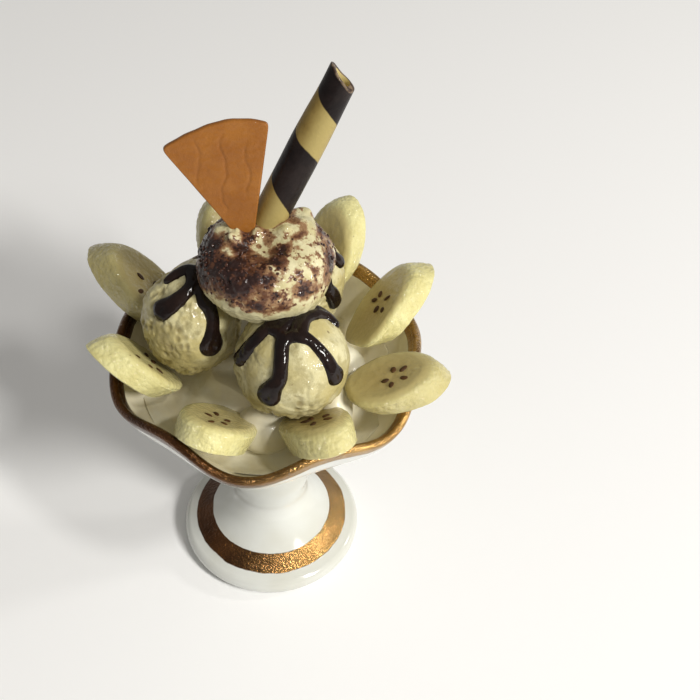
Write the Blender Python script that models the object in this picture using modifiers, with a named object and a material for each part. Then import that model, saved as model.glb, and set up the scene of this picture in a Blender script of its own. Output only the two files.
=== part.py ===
"""A one-sixth scale model of a banana ice cream sundae in a footed porcelain dish.

Three scoops with chocolate sauce stand on a bed of cream, a cocoa-dusted scoop rests on them with a fan
wafer and a striped roll in its top, and eight banana slices lean from the bed out over the wavy rim.
Lengths are in metres. +Z is up, and the origin is the centre of the dish's foot.
"""

import math

import bmesh
import bpy
import numpy as np
from mathutils import Matrix, Vector, noise

MM = 0.001

# Dish
FOOT_RADIUS = 8.5 * MM
FOOT_BAND_OUTER = 7.3 * MM
FOOT_BAND_INNER = 5.7 * MM
STEM_RADIUS = 3.3 * MM
RIM_RADIUS = 13.2 * MM
RIM_HEIGHT = 25.7 * MM
WALL = 0.8 * MM
FLOOR_HEIGHT = 19.2 * MM
RIM_LOBES = 6
FIRST_LOBE = math.radians(25.6)
LOBE_FLARE = 0.34 * MM
LOBE_DIP = 0.72 * MM
FLUTE_FOOT = 19.5 * MM
DISH_SIDES = 48

# Bed of cream in the dish
BED_TOP = 24.9 * MM
BED_SHOULDER = 5.6 * MM

# Clearance between pieces that touch
GAP = 0.12 * MM

# Scoops: centre, half size, and the sauce's legs as (polar angle, compass angle) pairs in degrees, crown to tip
SCOOP_CRAG = 0.12 * MM
LOWER_SCOOPS = {
    "scoop_left": (
        (-6.16, -0.1, 29.5),
        (4.0, 4.6, 4.95),
        [
            [(8, 340), (12, 181), (27, 194)],
            [(8, 340), (19, 281), (32, 253), (51, 234)],
            [(8, 340), (36, 316), (60, 313), (85, 301)],
        ],
    ),
    "scoop_front": (
        (2.37, -4.69, 29.5),
        (4.45, 4.45, 4.4),
        [
            [(7, 340), (12, 176), (34, 180), (56, 189), (70, 191)],
            [(7, 340), (22, 250), (50, 255), (80, 251)],
            [(7, 340), (26, 317), (44, 328), (77, 328)],
            [(7, 340), (31, 51), (52, 52), (60, 38)],
        ],
    ),
    "scoop_back": (
        (1.78, 4.86, 29.5),
        (4.4, 4.4, 4.4),
        [
            [(10, 20), (49, 358), (66, 359)],
            [(10, 20), (60, 319), (84, 325), (100, 328)],
            [(10, 20), (40, 120), (72, 116)],
        ],
    ),
}
SAUCE_RADIUS = 0.46 * MM
SAUCE_DROP_RADIUS = 0.66 * MM

# Top scoop: a squat ball with a skirt, its crown pressed in round the wafers
TOP_CENTRE = Vector((0, 0.1, 35.6)) * MM
TOP_RADIUS = 5.4 * MM
TOP_RISE = 3.7 * MM
TOP_DEPTH = 4.2 * MM
TOP_DENT = 1.1 * MM
CRUMBS = 36
CRUMB_RADIUS = 0.3 * MM

# Fan wafer: an eighth of a disc, which faces the front and leans back
FAN_APEX = Vector((-1.08, 0.05, 36.6)) * MM
FAN_RADIUS = 10.85 * MM
FAN_START = math.radians(82.3)
FAN_SWEEP = math.radians(44.5)
FAN_THICKNESS = 0.6 * MM
FAN_LEAN = math.radians(14)
FAN_TURN = math.radians(4)

# Striped roll: a hollow stick with a slanted end
ROLL_FOOT = Vector((-0.67, 1.65, 36.9)) * MM
ROLL_TIP = Vector((5.36, 4.36, 50.1)) * MM
ROLL_RADIUS = 1.22 * MM
ROLL_BORE = 0.72 * MM
ROLL_BORE_DEPTH = 4.0 * MM
ROLL_END_NORMAL = Vector((0.77, 0.25, 0.59))

# Banana slices, anticlockwise from the right: centre of the cut face, heading, rise and bank of its long axis
# in degrees, half length, half width, and how far the underside is set out along the long axis
SLICES = [
    ((9.06, 4.21, 27.26), (57.5, 27.2, -40.7), 4.2, 3.0, 1.8),
    ((4.11, 9.75, 27.75), (79.9, 44.0, -35.9), 4.35, 3.0, 1.6),
    ((-3.74, 9.89, 27.71), (105, 40, 10), 4.3, 3.0, 1.5),
    ((-10.16, 4.77, 27.65), (132.7, 18.9, 32.7), 4.35, 3.0, 2.7),
    ((-9.23, -3.16, 26.97), (186.4, 48.5, 26.3), 4.2, 3.0, 1.3),
    ((-3.3, -7.69, 25.9), (248.9, 40.5, -4.0), 4.2, 2.95, 0.5),
    ((4.05, -7.86, 26.53), (295.0, 36.7, 2.5), 4.3, 2.7, 1.1),
    ((9.53, -4.59, 28.1), (15.9, 16.2, -14.5), 4.1, 2.95, 1.4),
]
SLICE_THICKNESS = 2.15 * MM
SLICE_TAPER = 0.93
SLICE_SIDES = 22


def clear_scene():
    for obj in list(bpy.data.objects):
        bpy.data.objects.remove(obj, do_unlink=True)


def new_collection(name):
    collection = bpy.data.collections.new(name)
    bpy.context.scene.collection.children.link(collection)
    return collection


def material(name, colour, roughness, metallic=0.0):
    made = bpy.data.materials.new(name)
    made.use_nodes = True
    shader = made.node_tree.nodes["Principled BSDF"]
    shader.inputs["Base Color"].default_value = (*colour, 1.0)
    shader.inputs["Roughness"].default_value = roughness
    shader.inputs["Metallic"].default_value = metallic
    return made


def add_object(name, data, collection, look=None):
    obj = bpy.data.objects.new(name, data)
    collection.objects.link(obj)
    if look:
        data.materials.append(look)
    return obj


def mesh_from(bm, name):
    mesh = bpy.data.meshes.new(name)
    bmesh.ops.recalc_face_normals(bm, faces=bm.faces)
    bm.to_mesh(mesh)
    bm.free()
    return mesh


def settle(obj):
    """Makes the object's evaluated shape its own mesh, with its modifiers applied and its place kept."""
    graph = bpy.context.evaluated_depsgraph_get()
    mesh = bpy.data.meshes.new_from_object(obj.evaluated_get(graph))
    obj.modifiers.clear()
    obj.data = mesh


def solid_from_curve(obj, collection):
    """A curve object as a closed mesh object in its place."""
    graph = bpy.context.evaluated_depsgraph_get()
    mesh = bpy.data.meshes.new_from_object(obj.evaluated_get(graph))
    bm = bmesh.new()
    bm.from_mesh(mesh)
    bmesh.ops.remove_doubles(bm, verts=bm.verts, dist=0.001 * MM)
    bmesh.ops.recalc_face_normals(bm, faces=bm.faces)
    bm.to_mesh(mesh)
    bm.free()
    made = add_object(obj.name + "_solid", mesh, collection)
    made.matrix_world = obj.matrix_world
    bpy.data.objects.remove(obj)
    return made


def move_points(mesh, rule):
    """Moves every vertex to where rule puts it."""
    for vertex in mesh.vertices:
        vertex.co = rule(vertex.co)
    mesh.update()


def smooth_step(low, high, value):
    t = min(max((value - low) / (high - low), 0.0), 1.0)
    return t * t * (3 - 2 * t)


def turned(name, profile, sides, collection, look):
    """A profile of (radius, height) points, run from the axis out and down its outer side, turned about Z."""
    mesh = bpy.data.meshes.new(name)
    points = [(radius, 0, height) for radius, height in profile]
    mesh.from_pydata(points, [(i, i + 1) for i in range(len(points) - 1)], [])
    obj = add_object(name, mesh, collection, look)
    screw = obj.modifiers.new("turn", "SCREW")
    screw.steps = screw.render_steps = sides
    screw.use_merge_vertices = True
    screw.merge_threshold = 0.001 * MM
    screw.use_smooth_shade = True
    settle(obj)
    return obj


def arc(centre, radius, start, end, count):
    """Points on an arc, its angles in degrees from the outward radius towards +Z."""
    angles = np.radians(np.linspace(start, end, count))
    return [(centre[0] + radius * math.cos(a), centre[1] + radius * math.sin(a)) for a in angles]


def bowl_wall(inset):
    """The bowl's outer wall from rim to stem, moved inwards by inset, as (radius, height) points."""
    curve = [(12.95, 24.6), (12.35, 23.3), (11.2, 21.9), (9.6, 20.3), (7.7, 18.5), (6.1, 16.4)]
    return [(radius * MM - inset, height * MM) for radius, height in curve]


def dish_profile():
    """From the bowl's floor out to the rim, down the outside of bowl, stem and foot, and in to the axis."""
    inner = [(0.0, FLOOR_HEIGHT), (3.6 * MM, FLOOR_HEIGHT + 0.15 * MM), (6.4 * MM, FLOOR_HEIGHT + 0.75 * MM)]
    inner += [(radius, height + WALL * 0.5) for radius, height in reversed(bowl_wall(WALL)[:4])]
    lip = arc((RIM_RADIUS - WALL / 2, RIM_HEIGHT - WALL / 2), WALL / 2, 180, 0, 5)
    stem = [(5.0, 14.0), (4.2, 11.4), (3.7, 9.2), (STEM_RADIUS / MM, 7.2), (3.55, 5.7), (4.3, 4.5), (5.1, 3.6)]
    bands = [(FOOT_BAND_INNER, 2.85 * MM), (FOOT_BAND_OUTER, 2.1 * MM)]
    edge = arc((FOOT_RADIUS - 0.9 * MM, 0.95 * MM), 0.9 * MM, 75, -20, 5)
    base = [(FOOT_RADIUS - 0.4 * MM, 0.0), (0.0, 0.0)]
    return inner + lip + bowl_wall(0) + [(r * MM, h * MM) for r, h in stem] + bands + edge + base


def flute(point):
    """Six soft lobes that grow towards the rim: each flares outwards and dips, and the rim rises between them."""
    radius = math.hypot(point.x, point.y)
    if radius < FOOT_RADIUS * 0.5 or point.z < FLUTE_FOOT:
        return point
    share = smooth_step(FLUTE_FOOT, RIM_HEIGHT, point.z)
    wave = math.cos(RIM_LOBES * (math.atan2(point.y, point.x) - FIRST_LOBE))
    grown = (radius + LOBE_FLARE * share * wave) / radius
    return Vector((point.x * grown, point.y * grown, point.z - LOBE_DIP * share * wave))


def make_dish(collection, look):
    dish = turned("dish", dish_profile(), DISH_SIDES, collection, look)
    move_points(dish.data, flute)
    return dish


def make_bed(collection, look):
    """A flat-topped mound whose skirt meets the bowl's wall, and whose base lies on the bowl's floor."""
    top = [(0.0, BED_TOP), (BED_SHOULDER * 0.6, BED_TOP)]
    slope = arc((BED_SHOULDER - 0.9 * MM, BED_TOP - 0.9 * MM), 0.9 * MM, 80, 35, 3)
    skirt = [(6.9, 23.3), (7.7, 22.1), (8.5, 21.2)]
    base = [(7.6, 20.75), (6.3, 20.15), (3.6, 19.5), (0.0, 19.35)]
    profile = top + slope + [(r * MM, h * MM) for r, h in skirt + base]
    bed = turned("cream_bed", profile, 32, collection, look)

    def lump(point):
        share = smooth_step(20.6 * MM, BED_TOP, point.z) * smooth_step(2 * MM, 6 * MM, point.xy.length)
        push = noise.noise(point * 350) * 0.35 * MM * share
        return point - Vector((point.x, point.y, 0)).normalized() * abs(push)

    move_points(bed.data, lump)
    return bed


def ball(bm, radius, centre, segments=22, rings=12):
    made = bmesh.ops.create_uvsphere(bm, u_segments=segments, v_segments=rings, radius=radius)
    bmesh.ops.translate(bm, verts=made["verts"], vec=centre)
    return made["verts"]


def crag(direction, seed):
    """The rough surface of a scoop, from -1 to 1, along a direction from its centre."""
    return noise.noise(direction * 2.6 + seed) * 0.6 + noise.noise(direction * 6.0 + seed) * 0.4


def on_scoop(polar, compass, radius):
    """A point on a ball from its angle off the top and its compass angle, in degrees."""
    p, c = math.radians(polar), math.radians(compass)
    return Vector((math.sin(p) * math.cos(c), math.sin(p) * math.sin(c), math.cos(p))) * radius


def sauce_leg(legs, waypoints, half_size, grow):
    """One run of sauce down a scoop: a round thread that follows the waypoints and ends in a drop."""
    ends = [on_scoop(polar, compass, 1.0) for polar, compass in waypoints]
    paths = [ends[i].lerp(ends[i + 1], t / 2).normalized() for i in range(len(ends) - 1) for t in range(2)]
    points = [direction * half_size for direction in paths + [ends[-1]]]
    curve = bpy.data.curves.new("leg", "CURVE")
    curve.dimensions = "3D"
    curve.bevel_depth = SAUCE_RADIUS + grow
    curve.bevel_resolution = 1
    curve.resolution_u = 1
    curve.use_fill_caps = True
    spline = curve.splines.new("POLY")
    spline.points.add(len(points) - 1)
    for spot, point in zip(spline.points, points):
        spot.co = (*point, 1)
    solid_from_curve(add_object("leg", curve, legs), legs)
    bm = bmesh.new()
    ball(bm, SAUCE_DROP_RADIUS + grow, points[-1], 8, 5)
    add_object("drop", mesh_from(bm, "drop"), legs)


def fuse(obj, extras):
    """Joins every object of the collection to obj, then removes the collection and what was in it."""
    union = obj.modifiers.new("fuse", "BOOLEAN")
    union.operation = "UNION"
    union.solver = "EXACT"
    union.operand_type = "COLLECTION"
    union.collection = extras
    settle(obj)
    for extra in list(extras.objects):
        bpy.data.objects.remove(extra)
    bpy.data.collections.remove(extras)


def flatten(mesh, height):
    """Cuts a closed mesh off level at a height and closes the cut."""
    bm = bmesh.new()
    bm.from_mesh(mesh)
    every = bm.verts[:] + bm.edges[:] + bm.faces[:]
    sliced = bmesh.ops.bisect_plane(
        bm, geom=every, dist=0.001 * MM, plane_co=(0, 0, height), plane_no=(0, 0, 1), clear_inner=True
    )
    edges = [part for part in sliced["geom_cut"] if isinstance(part, bmesh.types.BMEdge)]
    bmesh.ops.edgeloop_fill(bm, edges=edges)
    bmesh.ops.recalc_face_normals(bm, faces=bm.faces)
    bm.to_mesh(mesh)
    bm.free()


def make_lower_scoop(name, row, seed, collection, look=None, grow=0.0):
    """A craggy ball, flat where it sits on the bed, with the sauce's legs fused on, and grown by grow."""
    centre, half_size, legs = row
    half_size = Vector(half_size) * MM
    bm = bmesh.new()
    ball(bm, 1.0, (0, 0, 0))
    mesh = mesh_from(bm, name)
    move_points(mesh, lambda p: p * half_size + p * (crag(p, seed) * SCOOP_CRAG + grow))
    scoop = add_object(name, mesh, collection, look)
    sauce = new_collection("sauce")
    for waypoints in legs:
        sauce_leg(sauce, waypoints, half_size, grow)
    fuse(scoop, sauce)
    scoop.location = Vector(centre) * MM
    flatten(scoop.data, BED_TOP + GAP - scoop.location.z - grow)
    return scoop


def top_surface(direction):
    """The top scoop's surface along a direction from its centre: squat, with a low skirt and a dented crown."""
    height = TOP_RISE if direction.z > 0 else TOP_DEPTH
    across = math.hypot(direction.x, direction.y)
    reach = 1 / math.sqrt((across / TOP_RADIUS) ** 2 + (direction.z / height) ** 2)
    point = direction * reach
    dent = TOP_DENT * math.exp(-((point.x + 0.4 * MM) ** 2 + (point.y + 1.0 * MM) ** 2) / (2.2 * MM) ** 2)
    point.z -= dent * smooth_step(0, height, point.z)
    return point


def crumb_directions():
    """Directions spread evenly over the top scoop's crown and sides, by the golden angle."""
    golden = math.pi * (3 - math.sqrt(5))
    for i in range(CRUMBS):
        height = 0.68 - 1.0 * (i + 0.5) / CRUMBS
        across = math.sqrt(1 - height * height)
        yield Vector((across * math.cos(i * golden), across * math.sin(i * golden), height))


def make_top_scoop(collection, look, keepers):
    """The cocoa-dusted scoop, with crumbs fused on, and its seat and slots cut clear of what it touches."""
    bm = bmesh.new()
    ball(bm, 1.0, (0, 0, 0), 26, 14)
    mesh = mesh_from(bm, "scoop_top")

    def shape(point):
        direction = point.normalized()
        return top_surface(direction) + direction * (crag(direction, Vector((7, 1, 3))) * 1.6 * SCOOP_CRAG)

    move_points(mesh, shape)
    scoop = add_object("scoop_top", mesh, collection, look)
    crumbs = new_collection("crumbs")
    for i, direction in enumerate(crumb_directions()):
        bm = bmesh.new()
        bmesh.ops.create_icosphere(bm, subdivisions=1, radius=CRUMB_RADIUS * (0.8 + 0.4 * (i * 7 % 5) / 4))
        crumb = add_object("crumb", mesh_from(bm, "crumb"), crumbs)
        crumb.location = top_surface(direction)
        crumb.rotation_euler = (i * 0.7, i * 1.3, i * 2.1)
    bpy.context.view_layer.update()
    fuse(scoop, crumbs)
    scoop.location = TOP_CENTRE
    for cutter in keepers:
        cut(scoop, cutter)
    settle(scoop)
    return scoop


def cut(obj, cutter):
    """Cuts a helper's shape out of obj."""
    cutter.hide_render = True
    cutter.display_type = "WIRE"
    carve = obj.modifiers.new("cut", "BOOLEAN")
    carve.operation = "DIFFERENCE"
    carve.solver = "EXACT"
    carve.object = cutter


def make_fan(name, collection, grow=0.0):
    """The fan wafer's flat sector, grown on every side by grow, as a mesh object in its place."""
    curve = bpy.data.curves.new(name, "CURVE")
    curve.dimensions = "2D"
    curve.fill_mode = "BOTH"
    curve.extrude = FAN_THICKNESS / 2 + grow
    spline = curve.splines.new("POLY")
    apex = Vector((0, 0))
    if grow:
        apex = -2 * grow * Vector((math.cos(FAN_START + FAN_SWEEP / 2), math.sin(FAN_START + FAN_SWEEP / 2)))
    spread = grow / FAN_RADIUS
    angles = np.linspace(FAN_START - spread, FAN_START + FAN_SWEEP + spread, 13)
    rim = [Vector((math.cos(a), math.sin(a))) * (FAN_RADIUS + grow) for a in angles]
    points = [apex] + [apex * 0.5 + point for point in rim]
    spline.points.add(len(points) - 1)
    for spot, point in zip(spline.points, points):
        spot.co = (point.x, point.y, 0, 1)
    spline.use_cyclic_u = True
    fan = add_object(name, curve, collection)
    turn = Matrix.Rotation(FAN_TURN, 4, "Z") @ Matrix.Rotation(math.pi / 2 - FAN_LEAN, 4, "X")
    fan.matrix_world = Matrix.Translation(FAN_APEX) @ turn
    bpy.context.view_layer.update()
    made = solid_from_curve(fan, collection)
    made.name = name
    return made


def roll_frame():
    """The roll's place: Z runs from its foot to its tip."""
    axis = ROLL_TIP - ROLL_FOOT
    return Matrix.Translation(ROLL_FOOT) @ axis.to_track_quat("Z", "Y").to_matrix().to_4x4(), axis.length


def cylinder(name, radius, low, high, sides, collection, look=None):
    bm = bmesh.new()
    bmesh.ops.create_cone(
        bm, cap_ends=True, segments=sides, radius1=radius, radius2=radius, depth=high - low,
        matrix=Matrix.Translation((0, 0, (low + high) / 2)),
    )
    return add_object(name, mesh_from(bm, name), collection, look)


def make_roll(collection, cutters, look):
    """A stick with a bore in its upper end, cut on a slant there."""
    place, length = roll_frame()
    roll = cylinder("wafer_roll", ROLL_RADIUS, 0, length + 3 * MM, 20, collection, look)
    bore = cylinder("roll_bore", ROLL_BORE, length - ROLL_BORE_DEPTH, length + 4 * MM, 12, cutters)
    for obj in (roll, bore):
        obj.matrix_world = place
    bm = bmesh.new()
    bmesh.ops.create_cube(bm, size=20 * MM, matrix=Matrix.Translation((0, 0, 10 * MM)))
    slant = add_object("roll_slant", mesh_from(bm, "roll_slant"), cutters)
    turn = ROLL_END_NORMAL.to_track_quat("Z", "Y").to_matrix().to_4x4()
    slant.matrix_world = Matrix.Translation(ROLL_TIP) @ turn
    cut(roll, bore)
    cut(roll, slant)
    return roll


def slice_place(centre, heading, rise, bank):
    """The frame of a slice's cut face: X along its length towards the raised end, Z out of the face."""
    turn = Matrix.Rotation(math.radians(heading), 4, "Z") @ Matrix.Rotation(-math.radians(rise), 4, "Y")
    return Matrix.Translation(centre) @ turn @ Matrix.Rotation(math.radians(bank), 4, "X")


def make_slice(name, row, collection, look, cutters):
    """A slanting cut of banana: two oval faces, the underside smaller and set out along the long axis."""
    centre, angles, half_length, half_width, overhang = row
    bm = bmesh.new()
    bmesh.ops.create_cone(
        bm, cap_ends=True, segments=SLICE_SIDES, radius1=SLICE_TAPER, radius2=1.0, depth=1.0,
        matrix=Matrix.Translation((0, 0, -0.5)),
    )
    mesh = mesh_from(bm, name)

    def shape(point):
        along = point.x * half_length - point.z * overhang
        return Vector((along * MM, point.y * half_width * MM, point.z * SLICE_THICKNESS))

    move_points(mesh, shape)
    obj = add_object(name, mesh, collection, look)
    obj.matrix_world = slice_place(Vector(centre) * MM, *angles)
    bevel = obj.modifiers.new("round", "BEVEL")
    bevel.width = 0.45 * MM
    bevel.segments = 2
    for cutter in cutters:
        cut(obj, cutter)
    return obj


def bed_guard(bed, collection):
    """A copy of the bed grown by the clearance, which the slices are cut back from."""
    mesh = bed.data.copy()
    mesh.materials.clear()
    grown = [vertex.co + vertex.normal * GAP for vertex in mesh.vertices]
    for vertex, place in zip(mesh.vertices, grown):
        vertex.co = place
    return add_object("bed_guard", mesh, collection)


def main():
    clear_scene()
    sundae = new_collection("ice_cream_sundae")
    helpers = new_collection("cutters")
    porcelain = material("porcelain", (0.86, 0.86, 0.83), 0.15)
    cream = material("cream", (0.83, 0.81, 0.72), 0.4)
    ice_cream = material("ice_cream", (0.78, 0.72, 0.5), 0.45)
    cocoa = material("cocoa_dusting", (0.42, 0.24, 0.15), 0.4)
    banana = material("banana", (0.82, 0.76, 0.46), 0.4)
    biscuit = material("fan_biscuit", (0.56, 0.28, 0.1), 0.35)
    striped = material("striped_roll", (0.07, 0.04, 0.035), 0.3)

    make_dish(sundae, porcelain)
    bed = make_bed(sundae, cream)

    guards = []
    for number, (name, row) in enumerate(LOWER_SCOOPS.items()):
        seed = Vector((number * 5, 2, 9))
        make_lower_scoop(name, row, seed, sundae, ice_cream)
        guards.append(make_lower_scoop(name + "_guard", row, seed, helpers, grow=GAP))

    fan = make_fan("wafer_fan", sundae)
    fan.data.materials.append(biscuit)
    make_roll(sundae, helpers, striped)
    fan_slot = make_fan("fan_slot", helpers, GAP)
    place, length = roll_frame()
    roll_socket = cylinder("roll_socket", ROLL_RADIUS + GAP, -GAP, length, 20, helpers)
    roll_socket.matrix_world = place
    make_top_scoop(sundae, cocoa, guards + [fan_slot, roll_socket])

    guards.append(bed_guard(bed, helpers))
    for number, row in enumerate(SLICES, 1):
        make_slice(f"banana_slice_{number}", row, sundae, banana, guards)


main()
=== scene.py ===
"""Looks of the one-sixth scale banana sundae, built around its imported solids.

Every piece is a closed surface worked out on a grid of rings and sides. Lengths are in millimetres until a
surface is put into its mesh, which is in metres. +Z is up, and the origin is the centre of the dish's foot.
"""

import itertools
import math

import bpy
import numpy as np
from mathutils import Matrix, Vector


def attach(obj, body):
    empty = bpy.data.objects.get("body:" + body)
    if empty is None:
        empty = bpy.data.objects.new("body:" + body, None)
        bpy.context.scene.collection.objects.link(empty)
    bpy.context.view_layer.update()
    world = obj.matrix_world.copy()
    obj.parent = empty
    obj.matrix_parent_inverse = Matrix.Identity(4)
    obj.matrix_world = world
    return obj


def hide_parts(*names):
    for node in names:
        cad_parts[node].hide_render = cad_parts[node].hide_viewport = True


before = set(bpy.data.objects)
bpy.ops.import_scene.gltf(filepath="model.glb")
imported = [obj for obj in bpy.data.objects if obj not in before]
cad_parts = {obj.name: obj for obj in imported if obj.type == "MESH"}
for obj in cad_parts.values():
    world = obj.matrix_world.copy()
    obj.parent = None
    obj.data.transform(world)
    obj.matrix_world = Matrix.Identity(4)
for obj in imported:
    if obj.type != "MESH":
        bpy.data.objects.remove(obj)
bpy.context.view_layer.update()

MM = 0.001

# Dish
RIM_LOBES = 6
FIRST_LOBE = math.radians(25.6)
LOBE_FLARE = 0.34
LOBE_DIP = 0.72
FLUTE_FOOT = 19.5
RIM_HEIGHT = 25.7
# The lobes start outside this radius
LOBES_BEYOND = 4.25
LIP_CENTRE = (12.8, 25.3)
LIP_RADIUS = 0.4
FOOT_EDGE_CENTRE = (7.6, 0.95)
FOOT_EDGE_RADIUS = 0.9
FOOT_BAND_INNER = (5.7, 3.02)
FOOT_BAND_OUTER = (7.3, 2.1)
# The dish's section as (radius, height): the floor and inner wall, then the outer wall and stem
DISH_INSIDE = [
    (0.05, 19.2), (3.6, 19.35), (6.4, 19.95), (8.8, 20.7), (10.4, 22.3), (11.55, 23.7), (12.15, 25.0), (12.4, 25.3),
]
DISH_OUTSIDE = [
    (13.2, 25.3), (12.95, 24.6), (12.35, 23.3), (11.2, 21.9), (9.6, 20.3), (7.7, 18.5), (6.1, 16.4), (5.0, 14.0),
    (4.2, 11.4), (3.7, 9.2), (3.3, 7.2), (3.5, 5.75), (4.15, 4.65), (4.9, 3.8), FOOT_BAND_INNER,
]
# How far the rim's gold reaches from the lip's top
RIM_BAND_INSIDE = 1.15
RIM_BAND_OUTSIDE = 1.55
# The gold's painted reflection goes from dark to bright between these places along X
GOLD_PAINTED_REFLECTION = (-5, 9)
BAND_BLUR = 0.04

# Bed of cream, its section as (radius, height) over the top and back underneath
BED_TOP = 24.9
BED_OVER = [
    (0.05, 24.9), (3.4, 24.9), (4.86, 24.89), (5.4, 24.6), (6.8, 23.3), (7.8, 22.35), (8.8, 21.8), (9.8, 21.85),
    (10.9, 22.4),
]
BED_UNDER = [(10.9, 22.4), (10.2, 21.6), (8.9, 20.5), (7.6, 20.1), (6.3, 19.75), (3.6, 19.2), (0.05, 19.1)]
# Lumps of cream that stand up between the scoops and the slices: centre and half sizes
CREAM_LUMPS = [
    ((5.9, -5.2, 24.4), (1.5, 2.4, 2.4)),
    ((0.3, -6.6, 23.2), (2.6, 2.2, 1.9)),
    ((5.8, -0.9, 24.0), (2.6, 2.9, 2.4)),
]

# Lower scoops: centre, half size, and the sauce's legs as (polar angle, compass angle, half width) from the crown
LOWER_SCOOPS = {
    "scoop_left": (
        (-6.16, -0.25, 29.5),
        (4.0, 4.4, 4.95),
        [
            [(14, 340, 0.9), (2, 60, 0.55), (11, 185, 0.48), (20, 196, 0.4), (27, 199, 0.16)],
            [(14, 340, 0.9), (19, 290, 0.55), (29, 264, 0.55), (39, 248, 0.68), (49, 234, 0.85)],
            [(14, 340, 0.9), (26, 315, 0.6), (38, 308, 0.6), (46, 311, 0.56), (58, 310, 0.52), (70, 305, 0.62),
             (82, 301, 0.98)],
        ],
    ),
    "scoop_front": (
        (2.37, -4.69, 29.5),
        (4.45, 4.45, 4.4),
        [
            [(12, 60, 0.9), (14, 210, 0.7), (22, 191, 0.55), (31, 197, 0.55), (40, 202, 0.55), (56, 202, 0.6),
             (69, 200, 0.62)],
            [(12, 60, 0.9), (11, 257, 1.0), (20, 253, 0.66), (28, 253, 0.55), (42, 258, 0.54), (61, 259, 0.55),
             (72, 254, 0.66), (83, 250, 0.92)],
            [(12, 60, 0.9), (10, 299, 0.9), (18, 299, 0.66), (27, 315, 0.48), (40, 321, 0.48), (52, 323, 0.53),
             (64, 323, 0.62), (73, 325, 0.76)],
            [(12, 60, 0.9), (24, 52, 0.86), (35, 52, 0.92), (47, 45, 0.78), (54, 29, 0.42)],
        ],
    ),
    "scoop_back": (
        (1.78, 4.86, 29.5),
        (4.4, 4.4, 4.4),
        [
            [(10, 20, 0.9), (30, 4, 0.55), (49, 357, 0.5), (60, 359, 0.6)],
            [(10, 20, 0.9), (40, 330, 0.55), (65, 318, 0.48), (79, 322, 0.62), (92, 326, 0.68)],
            [(10, 20, 0.9), (40, 120, 0.55), (72, 116, 0.72)],
            [(10, 20, 0.9), (40, 75, 0.5), (60, 80, 0.44), (80, 74, 0.66)],
        ],
    ),
}

# A lower scoop's usual radius, and how far the clay and the sauce are kept above the bed
SCOOP_RADIUS = 4.4
GAP = 0.12
SAUCE_GAP = 0.3
# Dents a millimetre deep in a lower scoop: direction and width
DENTS = {"scoop_left": [((-0.68, 0.55, 0.48), 0.55)]}
# A scoop's relief, and the side that is darkened with painted shade
PIT_DEPTH = 0.12
FLAKE = 0.07
HEM_CRUMBS = 0.42
SIDE_CRUMBS = 0.17
SHADED_WAY = (-0.7, -0.45, -0.55)
# The round of the sauce's edge, and how softly its legs run together
SAUCE_RADIUS = 0.55
SAUCE_BLEND = 0.09
# Rings and sides of a scoop
SCOOP_GRID = (150, 300)

# Top scoop
TOP_CENTRE = (0.0, 0.1, 35.6)
TOP_RADIUS = 5.4
TOP_RISE = 3.7
TOP_DEPTH = 4.2
TOP_DENT = 1.1
TOP_SEED = 71
# Places tried for crumbs, of which the thick dusting keeps some
CRUMB_SPOTS = 1500
CRUMB_SQUASH = 0.75

# Fan wafer
FAN_APEX = (-1.08, 0.05, 36.6)
FAN_RADIUS = 10.85
FAN_START = math.radians(82.3)
FAN_SWEEP = math.radians(44.5)
FAN_THICKNESS = 0.6
FAN_EDGE = 0.15
FAN_RINGS = 70
FAN_LEAN = math.radians(14)
FAN_TURN = math.radians(4)
# The wavy grooves that run up the fan: place across, lowest and highest point, and lag of the wave
FAN_LINES = [(-3.98, 5.3, 9.9, 0.4), (-2.05, 3.0, 10.3, 2.1), (-0.22, 4.6, 9.4, 3.6)]

# Striped roll
ROLL_FOOT = Vector((-0.68, 1.62, 36.9))
ROLL_TIP = Vector((5.34, 4.34, 50.15))
ROLL_RADIUS = 1.34
ROLL_BORE = 0.8
ROLL_BORE_DEPTH = 4.0
ROLL_RINGS = 140
ROLL_END_NORMAL = Vector((0.77, 0.25, 0.59))
STRIPE_PITCH = 7.95
STRIPE_START = 7.6
DARK_SHARE = 0.583
STRIPE_BLUR = 0.012

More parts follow.
